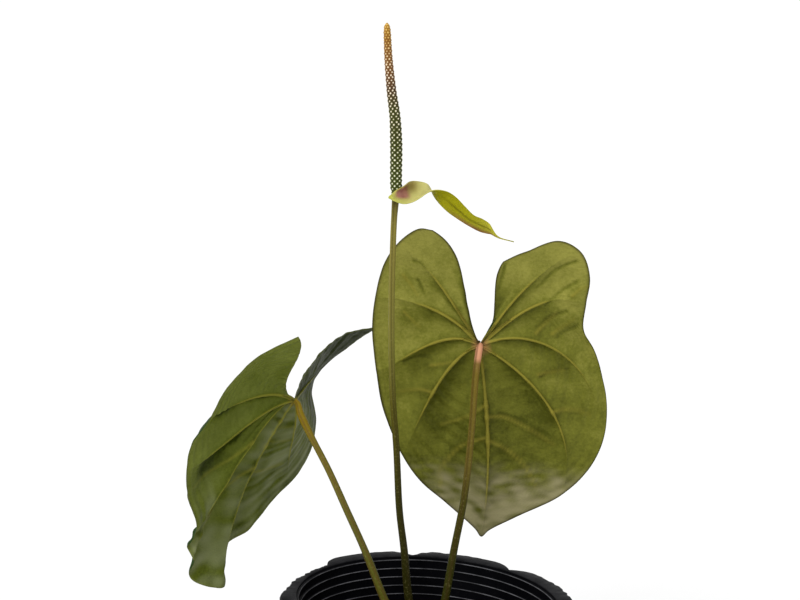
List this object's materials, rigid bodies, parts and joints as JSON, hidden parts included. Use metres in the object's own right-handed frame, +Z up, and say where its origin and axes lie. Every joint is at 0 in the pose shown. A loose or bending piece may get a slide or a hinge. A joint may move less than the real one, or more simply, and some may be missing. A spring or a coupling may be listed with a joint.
{
  "type": "potted anthurium",
  "caption": "Young anthurium with heart-shaped olive leaves and a tall dotted spadix over a twisted spathe, in a thin black ribbed nursery pot",
  "frame": {"origin": "centre of the pot's flat underside", "axes": "+Z up; front is -Y, the side that both leaves turn their undersides to; +X is the side of the large leaf"},
  "size_m": [0.2109, 0.1619, 0.4115],
  "materials": {
    "black_plastic": "satin black, thin nursery plastic",
    "bark_mix": "loose bark chips",
    "crown_skin": "rough living stem",
    "dry_sheath": "dry fibrous sheath",
    "root_skin": "matt root skin",
    "peduncle_skin": "olive stalk, satin",
    "petiole_large_skin": "brownish olive stalk, satin",
    "petiole_left_skin": "yellow-green stalk, satin",
    "large_leaf_skin": "olive leaf underside with raised veins",
    "left_leaf_skin": "green leaf underside with raised veins",
    "spathe_skin": "yellow-green bract, satin",
    "spadix_skin": "olive spike with pale dots"
  },
  "bodies": {
    "root": {"pot": "black_plastic", "potting_mix": "bark_mix", "crown": "crown_skin", "cataphyll_front": "dry_sheath", "cataphyll_back": "dry_sheath", "aerial_root_left": "root_skin", "aerial_root_right": "root_skin", "aerial_root_back": "root_skin", "petiole_large_leaf": "petiole_large_skin", "leaf_blade_large": "large_leaf_skin", "petiole_left_leaf": "petiole_left_skin", "leaf_blade_left": "left_leaf_skin", "peduncle": "peduncle_skin", "spathe": "spathe_skin", "spadix": "spadix_skin"}
  },
  "joints": []
}
